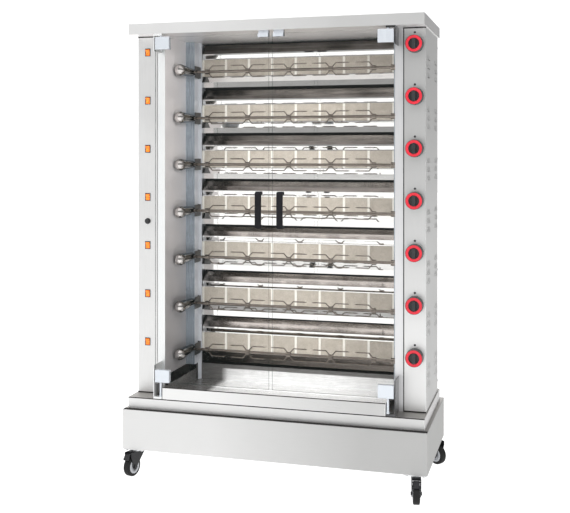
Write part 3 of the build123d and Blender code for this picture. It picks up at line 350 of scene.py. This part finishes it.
materials = {
    # Painted shade: the fronts of the cover, base and ledge darken towards the right.
    "cover": brushed("cover_steel", (0.70, 0.70, 0.695), (0.87, 0.87, 0.865), "X", 0.50, fade=SHADE_RIGHT),
    "base": brushed("base_steel", (0.48, 0.48, 0.475), (0.71, 0.71, 0.705), "X", 0.50, fade=SHADE_RIGHT),
    "ledge": brushed("ledge_steel", (0.68, 0.68, 0.675), (0.80, 0.80, 0.795), "X", 0.50, fade=SHADE_RIGHT),
    # Painted shade: the tops and the sides of the casing, and the top lip of the base, are darker shaded
    # copies of the steel of the fronts; the column sides also darken towards the foot.
    "ledge_top": brushed("ledge_top_steel", (0.42, 0.405, 0.39), (0.52, 0.50, 0.48), "X", 0.40),
    "side": brushed("side_steel", (0.44, 0.44, 0.435), (0.54, 0.54, 0.535), "Z", 0.50, fade=SHADE_LOW),
    "base_side": brushed("base_side_steel", (0.31, 0.31, 0.303), (0.37, 0.37, 0.362), "Y", 0.50),
    "cover_side": brushed("cover_side_steel", (0.50, 0.495, 0.495), (0.58, 0.575, 0.575), "Y", 0.50),
    "rear": brushed("rear_steel", (0.50, 0.50, 0.495), (0.68, 0.68, 0.675), "Z", 0.45, 0.08),
    # Painted light: the left column is a lit copy and the right column a shaded copy of one steel, and the
    # right one darkens towards the top.
    "column_left": brushed("left_column_steel", (0.72, 0.72, 0.715), (0.84, 0.84, 0.835), "Z", 0.50),
    "column_right": brushed("right_column_steel", (0.60, 0.60, 0.595), (0.82, 0.82, 0.815), "Z", 0.50,
                            fade=SHADE_HIGH),
    "ceiling": brushed("ceiling_steel", (0.78, 0.765, 0.76), (0.88, 0.865, 0.86), "X", 0.30, 0.05, 0.6),
    # Painted shadow: near-black paint for the shade in the gaps behind the burners and under the tray lip.
    "shadow_black": painted("shadow_black_steel", (0.010, 0.009, 0.008), (0.022, 0.020, 0.018), 0.55),
    # Painted reflection and shade: the reflector roofs are dark brown with light streaks, as mirrored
    # ceramics and undersides, and darker higher up.
    "band": streaked_reflections("roof_painted_reflection_steel", (0.045, 0.039, 0.034), (0.48, 0.44, 0.41), 0.14, BAND_SHADE),
    # Painted light: the left jamb is a lit copy and the right jamb a shaded copy of one steel.
    "jamb_left": brushed("jamb_left_steel", (0.66, 0.67, 0.67), (0.74, 0.75, 0.75), "Z", 0.34, 0.03, 0.6),
    "jamb_right": brushed("jamb_right_steel", (0.62, 0.62, 0.63), (0.72, 0.72, 0.73), "Z", 0.34, 0.03, 0.8),
    # Painted shade: the chamber wall darkens towards the foot.
    "wall": brushed("wall_steel", (0.41, 0.395, 0.40), (0.83, 0.80, 0.80), "Y", 0.42, 0.08, 0.4, SHADE_LOW),
    "post": brushed("post_steel", (0.30, 0.35, 0.40), (0.37, 0.42, 0.47), "Z", 0.26, 0.02, 0.5),
    "reveal": brushed("reveal_steel", (0.50, 0.52, 0.56), (0.57, 0.59, 0.63), "Z", 0.30, 0.02, 0.1),
    "mirror": polished("reflector_steel", (0.80, 0.79, 0.77), (0.88, 0.87, 0.85), 0.05),
    "pan": brushed("burner_pan_steel", (0.40, 0.36, 0.31), (0.55, 0.50, 0.44), "X", 0.38),
    # Painted shade: the inside of the tray is dark at its left end and along the top of its walls, and the
    # tray front darkens towards the right.
    "tray": brushed("tray_steel", (0.17, 0.165, 0.16), (0.93, 0.93, 0.925), "X", 0.26, 0.05, 0.25,
                    TRAY_LEFT_SHADE, TRAY_RIM),
    "tray_front": brushed("tray_front_steel", (0.50, 0.50, 0.495), (0.70, 0.70, 0.695), "X", 0.30,
                          fade=SHADE_RIGHT),
    # Painted shade: the hinge steel is near black, and only the brackets on the right take it.
    "bracket": brushed("hinge_steel", (0.06, 0.06, 0.063), (0.12, 0.12, 0.124), "Z", 0.22),
    "spit": polished("spit_steel", (0.17, 0.145, 0.125), (0.28, 0.245, 0.215), 0.18),
    # Painted reflection: the grips have dark and light streaks, and a painted highlight at their front ends.
    "grip": streaked_reflections("grip_chrome", (0.05, 0.045, 0.04), (0.66, 0.63, 0.61), 0.06, GRIP_HIGHLIGHT, "Y"),
    # Painted shade: the lowest skirt is near-black streaked steel, darker towards the left.
    "skirt_low": streaked_reflections("low_skirt_steel", (0.03, 0.026, 0.023), (0.36, 0.32, 0.29), 0.16, LOW_SKIRT_SHADE),
    "clamp": brushed("clamp_chrome", (0.50, 0.53, 0.57), (0.58, 0.61, 0.65), "Z", 0.22, 0.02, 0.45),
    "zinc": brushed("zinc_plate", (0.56, 0.57, 0.58), (0.72, 0.73, 0.74), "X", 0.36),
    "brass": polished("brass", (0.55, 0.40, 0.16), (0.70, 0.54, 0.25), 0.25),
    "pipe": painted("pipe_paint", (0.24, 0.24, 0.23), (0.34, 0.33, 0.32), 0.5),
    "dark_steel": painted("dark_steel_paint", (0.025, 0.025, 0.027), (0.05, 0.05, 0.052), 0.4),
    "motor": painted("motor_paint", (0.05, 0.055, 0.06), (0.09, 0.095, 0.10), 0.45),
    "joint": moulded("joint_cement", (0.78, 0.75, 0.68), (0.92, 0.90, 0.84), 0.85, 0.2, 900.0),
    "ceramic": perforated("burner_ceramic", (0.49, 0.44, 0.375), (0.62, 0.57, 0.50), 0.0026, 0.30),
    "black": moulded("black_plastic", (0.010, 0.010, 0.011), (0.022, 0.022, 0.024), 0.38),
    "handle": moulded("handle_plastic", (0.004, 0.004, 0.005), (0.010, 0.010, 0.012), 0.46, 0.2, gloss=0.15),
    "red": moulded("red_plastic", (0.44, 0.010, 0.022), (0.60, 0.020, 0.038), 0.35, 0.05),
    # Painted shadow: near-black rubber for the beads that stand in for shadow lines at the joints.
    "shadow_line": moulded("shadow_line_rubber", (0.008, 0.007, 0.007), (0.020, 0.018, 0.018), 0.7, 0.15, 900.0, 0.2),
    "magnet": moulded("magnet_plastic", (0.04, 0.04, 0.045), (0.08, 0.08, 0.085), 0.5),
    "rocker": lit("rocker_plastic", (0.82, 0.14, 0.008), (0.95, 0.24, 0.02), 0.22),
    "glass": glass("door_glass", (0.10, 0.12, 0.115), 0.02, 0.01),
    "glass_edge": glass("door_glass_edge", (0.035, 0.065, 0.06), 0.85, 0.12),
    "castor": painted("castor_paint", (0.006, 0.006, 0.007), (0.016, 0.016, 0.018), 0.38, 0.25),
    "tyre": moulded("tyre_rubber", (0.006, 0.006, 0.006), (0.016, 0.016, 0.016), 0.62, 0.25, 700.0, 0.2),
    "hub": moulded("hub_plastic", (0.30, 0.31, 0.33), (0.42, 0.43, 0.45), 0.4),
}


def dress(node, chosen, rule=None, others=()):
    """Give a CAD node its material, and other materials to the faces that a rule picks by number."""
    piece = frame["nodes"][node]
    piece.data.materials.clear()
    for key in (chosen, *others):
        piece.data.materials.append(materials[key])
    for face in piece.data.polygons:
        face.material_index = rule(face) if rule else 0


def by_wall(side):
    """Faces of a chamber wall: its side wall, the jamb in front of it, the post and its return behind."""
    low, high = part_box(f"{side}_chamber_wall")
    outer = max(abs(low.x), abs(high.x))
    inner = min(abs(low.x), abs(high.x))

    def rule(face):
        across = abs(face.center.x)
        if face.center.y < low.y + FOLD and across > outer - JAMB_W + FOLD:
            return 1
        if across < inner + FOLD:
            return 3
        if across < inner + POST_W - FOLD or face.center.y > low.y + WALL_D:
            return 2
        return 0

    return rule


def is_front(node):
    """Faces on the front plane of a node."""
    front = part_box(node)[0].y

    def rule(face):
        return 1 if face.normal.y < -FACING and face.center.y < front + FACE_SLACK else 0

    return rule


def by_tray():
    """Faces of the drip tray: its front, and the lip folded in along the top of the front, painted black as
    shadow.
    """
    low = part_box("drip_tray")[0]
    rim_z = low.z + TRAY_RIM_OVER_LEDGE

    def rule(face):
        if face.normal.y < -FACING and face.center.y < low.y + FACE_SLACK:
            return 1
        on_rim = face.normal.z > FACING and abs(face.center.z - rim_z) < RIM_SLACK
        return 2 if on_rim and face.center.y < low.y + TRAY_LIP_D else 0

    return rule


def knob_ring(node):
    """Faces of the ring let into the front of a knob."""
    low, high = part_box(node)
    axis_x = (low.x + high.x) / 2
    axis_z = (low.z + high.z) / 2
    ring_y = low.y + KNOB_RING_BACK

    def rule(face):
        radius = math.hypot(face.center.x - axis_x, face.center.z - axis_z)
        flat = face.normal.y < -FACING and abs(face.center.y - ring_y) < KNOB_RING_DEPTH
        return 1 if flat and KNOB_RING_IN < radius < KNOB_RING_OUT else 0

    return rule


def by_reflector(face):
    """Faces of the reflectors: the sloping roofs, which face up and forward and carry painted reflections
    and shade, and the lowest skirt, painted dark as shade.
    """
    if face.center.z < LOW_SKIRT_TOP:
        return 2
    return 1 if face.normal.y < -ROOF_FACING and face.normal.z > ROOF_FACING else 0


def on_left(face):
    return 1 if face.center.x < 0 else 0


def by_facing(level):
    """Faces of a casing by the way they look: level is 1 to pick the ones that look up, -1 down."""

    def rule(face):
        if level * face.normal.z > FACING:
            return 1
        if abs(face.normal.x) > FACING:
            return 2
        return 3 if face.normal.y > FACING else 0

    return rule


def aside_or_back(face):
    if abs(face.normal.x) > FACING:
        return 1
    return 2 if face.normal.y > FACING else 0


def faces_front(face):
    return 1 if face.normal.y < -FACING else 0


def pane_edge(face):
    return 0 if abs(face.normal.y) > FACING else 1


def wheel_hub(node):
    """Faces of a wheel inside the tyre's bore."""
    low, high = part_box(node)
    middle = (low + high) / 2

    def rule(face):
        sideways = math.hypot(face.center.x - middle.x, face.center.y - middle.y)
        return 1 if math.hypot(sideways, face.center.z - middle.z) < HUB_R else 0

    return rule


# The tops and sides take the darker, shaded copies of the steel.
dress("base_box", "base", by_facing(1), ("ledge_top", "base_side", "rear"))
dress("lower_cover", "ledge", by_facing(1), ("ledge_top", "cover_side", "rear"))
dress("top_cover", "cover", by_facing(-1), ("ceiling", "cover_side", "rear"))
for side in ("left", "right"):
    dress(f"{side}_column", f"column_{side}", aside_or_back, ("side", "rear"))
    dress(f"{side}_chamber_wall", "wall", by_wall(side), (f"jamb_{side}", "post", "reveal"))
# The front faces of the back panel are painted near black, as the shade seen between the burners.
dress("back_panel", "rear", faces_front, ("shadow_black",))
dress("burner_reflectors", "mirror", by_reflector, ("band", "skirt_low"))
dress("burner_housings", "pan", is_front("burner_housings"), ("joint",))
for node, key in (("ceramic_plates", "ceramic"), ("spit_brackets", "dark_steel"),
                  ("spit_grips", "grip"), ("spit_motors", "motor"), ("gas_valves", "brass"),
                  ("gas_manifold", "pipe"), ("switch_frames", "black"),
                  ("castor_plates", "zinc"), ("fasteners", "zinc"), ("igniter_button", "black")):
    dress(node, key)
# Painted light: the brackets on the left take the lighter jamb steel, those on the right the near-black
# hinge steel.
dress("hinge_brackets", "bracket", on_left, ("jamb_left",))
dress("drip_tray", "tray", by_tray(), ("tray_front", "shadow_black"))
dress("door_magnets", "magnet", faces_front, ("clamp",))
for row in range(1, ROWS + 1):
    dress(f"spit_{row}", "spit")
    dress(f"knob_{row}", "black", knob_ring(f"knob_{row}"), ("red",))
    dress(f"rocker_{row}", "rocker")
for side in ("left", "right"):
    dress(f"door_glass_{side}", "glass", pane_edge, ("glass_edge",))
    dress(f"door_handle_{side}", "handle")
    dress(f"door_fittings_{side}", "clamp")
for corner in ("front_left", "front_right", "rear_left", "rear_right"):
    dress(f"castor_fork_{corner}", "castor")
    dress(f"castor_wheel_{corner}", "tyre", wheel_hub(f"castor_wheel_{corner}"), ("hub",))
for corner in ("front_left", "front_right"):
    dress(f"brake_pedal_{corner}", "castor")


def piece_from(name, mesh, material, body):
    """A new object from a bmesh that rides on a body."""
    data = bpy.data.meshes.new(name)
    mesh.to_mesh(data)
    mesh.free()
    data.materials.append(material)
    piece = bpy.data.objects.new(name, data)
    bpy.context.scene.collection.objects.link(piece)
    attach(piece, body)


def index_dots():
    """Black printed dots on the panel above the knobs, slightly domed."""
    mesh = bmesh.new()
    around = 32
    for row in range(1, ROWS + 1):
        low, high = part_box(f"knob_{row}")
        centre_x = (low.x + high.x) / 2
        centre_z = (low.z + high.z) / 2 + INDEX_DOT_OVER_KNOB
        rings = []
        for radius_share, out_share in DOT_PROFILE:
            ring = []
            for step in range(around):
                angle = 2 * math.pi * step / around
                x = centre_x + INDEX_DOT_R * radius_share * math.cos(angle)
                z = centre_z + INDEX_DOT_R * radius_share * math.sin(angle)
                ring.append(mesh.verts.new((x, PANEL_FRONT_Y - INDEX_DOT_T * out_share, z)))
            rings.append(ring)
        for outer, inner in zip(rings, rings[1:]):
            for step in range(around):
                after = (step + 1) % around
                mesh.faces.new((outer[step], outer[after], inner[after], inner[step]))
        mesh.faces.new(rings[-1])
        mesh.faces.new(rings[0][::-1])
    bmesh.ops.recalc_face_normals(mesh, faces=mesh.faces)
    piece_from("knob_index_dots", mesh, materials["black"], "cabinet")


def prism(mesh, outline, foot, top):
    """Upright sheet with the given plan outline."""
    rings = [[mesh.verts.new((x, y, z)) for x, y in outline] for z in (foot, top)]
    count = len(outline)
    for step in range(count):
        after = (step + 1) % count
        mesh.faces.new((rings[0][step], rings[0][after], rings[1][after], rings[1][step]))
    mesh.faces.new(rings[0][::-1])
    mesh.faces.new(rings[1])


def bead(mesh, start, end, across, out, width, height):
    """Half-round strip from start to end: across is the way of its width, out the way it stands up."""
    steps = 6
    rings = []
    for place in (start, end):
        ring = []
        for step in range(steps + 1):
            angle = math.pi * step / steps
            spread = Vector(across) * (width / 2 * math.cos(angle))
            ring.append(mesh.verts.new(Vector(place) + spread + Vector(out) * (height * math.sin(angle))))
        rings.append(ring)
    for step in range(steps + 1):
        after = (step + 1) % (steps + 1)
        mesh.faces.new((rings[0][step], rings[0][after], rings[1][after], rings[1][step]))
    mesh.faces.new(rings[0][::-1])
    mesh.faces.new(rings[1])


def shadow_seam_lines():
    """Black beads painted as the shadow lines along the joints of the sheets, and a black strip as the
    shadow on the front lip of the base.
    """
    base_low, base_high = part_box("base_box")
    ledge_low, ledge_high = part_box("lower_cover")
    cover_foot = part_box("top_cover")[0].z
    sideways = (1, 0, 0)
    upright = (0, 0, 1)
    forward = (0, -1, 0)
    backward = (0, 1, 0)
    mesh = bmesh.new()
    # The strip on the front lip of the base stands in for the shadow under the ledge.
    lip_d = ledge_low.y - base_low.y
    lip_y = base_low.y + lip_d / 2
    lip_half = base_high.x - SHADOW_STRIP_MARGIN
    bead(mesh, (-lip_half, lip_y, base_high.z), (lip_half, lip_y, base_high.z),
         forward, upright, lip_d - 2 * SHADOW_STRIP_MARGIN, SEAM_OUT)

    edge_z = ledge_high.z - SEAM_W / 2
    bead(mesh, (ledge_low.x, ledge_low.y, edge_z), (ledge_high.x, ledge_low.y, edge_z),
         upright, forward, SEAM_W, SEAM_OUT)

    low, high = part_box("right_column")
    inner_x = low.x
    outer_x = high.x - LOUVRE_OUT
    foot_z = ledge_high.z + SEAM_W / 2
    top_z = cover_foot - SEAM_W / 2
    for sign in (-1, 1):
        for z in (foot_z, top_z):
            bead(mesh, (sign * inner_x, low.y, z), (sign * outer_x, low.y, z),
                 upright, forward, SEAM_W, SEAM_OUT)
        bead(mesh, (sign * inner_x, high.y, ledge_high.z), (sign * inner_x, high.y, cover_foot),
             sideways, backward, SEAM_W, SEAM_OUT)
    bead(mesh, (inner_x, low.y, ledge_high.z), (inner_x, low.y, cover_foot),
         sideways, forward, SEAM_W, SEAM_OUT)
    bmesh.ops.recalc_face_normals(mesh, faces=mesh.faces)
    piece_from("shadow_seam_lines", mesh, materials["shadow_line"], "cabinet")


def reveal_trim(side, sign):
    """Narrow flared sheet that closes the slit between a post and the ends of the reflectors."""
    low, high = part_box(f"{side}_chamber_wall")
    reflector_low, reflector_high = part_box("burner_reflectors")
    post_x = sign * (min(abs(low.x), abs(high.x)) - REVEAL_GAP)
    end_x = sign * (reflector_high.x + REVEAL_GAP)
    end_y = reflector_low.y
    post_y = end_y - REVEAL_D
    outline = [(post_x, post_y), (end_x, end_y), (end_x, end_y + REVEAL_T), (post_x, post_y + REVEAL_T)]
    mesh = bmesh.new()
    prism(mesh, outline, low.z, high.z)
    bmesh.ops.recalc_face_normals(mesh, faces=mesh.faces)
    piece_from(f"reveal_trim_{side}", mesh, materials["reveal"], "cabinet")


index_dots()
reveal_trim("left", -1)
reveal_trim("right", 1)
shadow_seam_lines()


def area_light(name, place, target, width, power):
    """Soft square light that shines at a target and isn't mirrored in the steel."""
    data = bpy.data.lights.new(name, "AREA")
    data.shape = "SQUARE"
    data.size = width
    data.energy = power
    light = bpy.data.objects.new(name, data)
    light.location = place
    light.rotation_euler = (Vector(target) - Vector(place)).to_track_quat("-Z", "Y").to_euler()
    light.visible_glossy = False
    bpy.context.scene.collection.objects.link(light)


def stage_piece(name, mesh, glow):
    """White studio surface that shines by itself, so that nothing throws a shadow on it."""
    make = Maker(f"{name}_paint")
    tone = make.noise(1.3, 3.0)
    make.colour(make.ramp(tone, [(0.3, (0.10, 0.10, 0.10)), (0.7, (0.14, 0.14, 0.14))]))
    make.join(make.ramp(tone, [(0.3, (0.96, 0.96, 0.96)), (0.7, (1.0, 1.0, 1.0))]),
              make.bsdf.inputs["Emission Color"])
    socket(make.bsdf, "Emission Strength", glow)
    make.roughness(make.between(tone, 0.75, 0.85))
    data = bpy.data.meshes.new(name)
    mesh.to_mesh(data)
    mesh.free()
    data.materials.append(make.material)
    piece = bpy.data.objects.new(name, data)
    bpy.context.scene.collection.objects.link(piece)
    return piece


def floor():
    """Pale floor, wide enough to run out of the picture."""
    mesh = bmesh.new()
    bmesh.ops.create_grid(mesh, x_segments=8, y_segments=8, size=FLOOR_HALF)
    stage_piece("floor", mesh, FLOOR_GLOW)


def backdrop():
    """White wall all round, seen behind the object but not mirrored in it."""
    mesh = bmesh.new()
    bmesh.ops.create_cone(mesh, segments=48, radius1=BACKDROP_R, radius2=BACKDROP_R, depth=BACKDROP_H)
    bmesh.ops.translate(mesh, verts=mesh.verts, vec=(0.0, 0.0, BACKDROP_H / 2 + BACKDROP_FOOT_Z))
    piece = stage_piece("backdrop", mesh, BACKDROP_GLOW)
    piece.visible_diffuse = False
    piece.visible_glossy = False
    piece.visible_transmission = False
    piece.visible_shadow = False


def world():
    """Studio: white behind, bright above and below, dimmer in front at eye level and on the right."""
    studio = bpy.data.worlds.new("studio")
    studio.use_nodes = True
    tree = studio.node_tree
    place = tree.nodes.new("ShaderNodeTexCoord")
    split = tree.nodes.new("ShaderNodeSeparateXYZ")
    tree.links.new(place.outputs["Generated"], split.inputs[0])

    def level(axis, band, low, high):
        """A number from low to high as the direction goes through a band along an axis."""
        node = tree.nodes.new("ShaderNodeMapRange")
        node.inputs["From Min"].default_value = band[0]
        node.inputs["From Max"].default_value = band[1]
        node.inputs["To Min"].default_value = low
        node.inputs["To Max"].default_value = high
        tree.links.new(split.outputs[axis], node.inputs["Value"])
        return node.outputs["Result"]

    def reckon(kind, first, second):
        node = tree.nodes.new("ShaderNodeMath")
        node.operation = kind
        tree.links.new(first, node.inputs[0])
        tree.links.new(second, node.inputs[1])
        return node.outputs["Value"]

    eye_level = reckon("ADD", level("Z", EYE_BAND, FRONT_DIM, FRONT_BRIGHT),
                       level("Z", HORIZON_BAND, FRONT_BRIGHT - FRONT_DIM, 0.0))
    front = reckon("MULTIPLY", eye_level, level("X", FRONT_BAND, FRONT_LEFT, FRONT_RIGHT))
    behind = level("X", BEHIND_BAND, BEHIND_LEFT, BEHIND_RIGHT)
    front_part = reckon("MULTIPLY", front, level("Y", TURN_BAND, 1.0, 0.0))
    behind_part = reckon("MULTIPLY", behind, level("Y", TURN_BAND, 0.0, 1.0))
    round_about = reckon("ADD", front_part, behind_part)
    strength = reckon("ADD", round_about, level("Z", ZENITH_BAND, 0.0, ZENITH_EXTRA))
    background = tree.nodes["Background"]
    background.inputs["Color"].default_value = (1.0, 1.0, 1.0, 1.0)
    tree.links.new(strength, background.inputs["Strength"])
    bpy.context.scene.world = studio


def camera():
    data = bpy.data.cameras.new("camera")
    data.sensor_fit = "HORIZONTAL"
    data.sensor_width = CAMERA_SENSOR
    data.lens = CAMERA_LENS
    data.shift_y = CAMERA_SHIFT_Y
    data.clip_end = CAMERA_REACH
    piece = bpy.data.objects.new("camera", data)
    piece.location = CAMERA_PLACE
    piece.rotation_euler = (math.pi / 2, 0.0, CAMERA_YAW)
    bpy.context.scene.collection.objects.link(piece)
    bpy.context.scene.camera = piece


camera()
floor()
backdrop()
world()
area_light("key", place=(-2.0, -3.2, 3.2), target=(0.0, 0.0, 0.7), width=2.4, power=110.0)
area_light("fill", place=(2.6, -3.0, 2.4), target=(-0.4, 0.1, 1.3), width=1.6, power=90.0)
bpy.context.scene.view_settings.view_transform = "Standard"
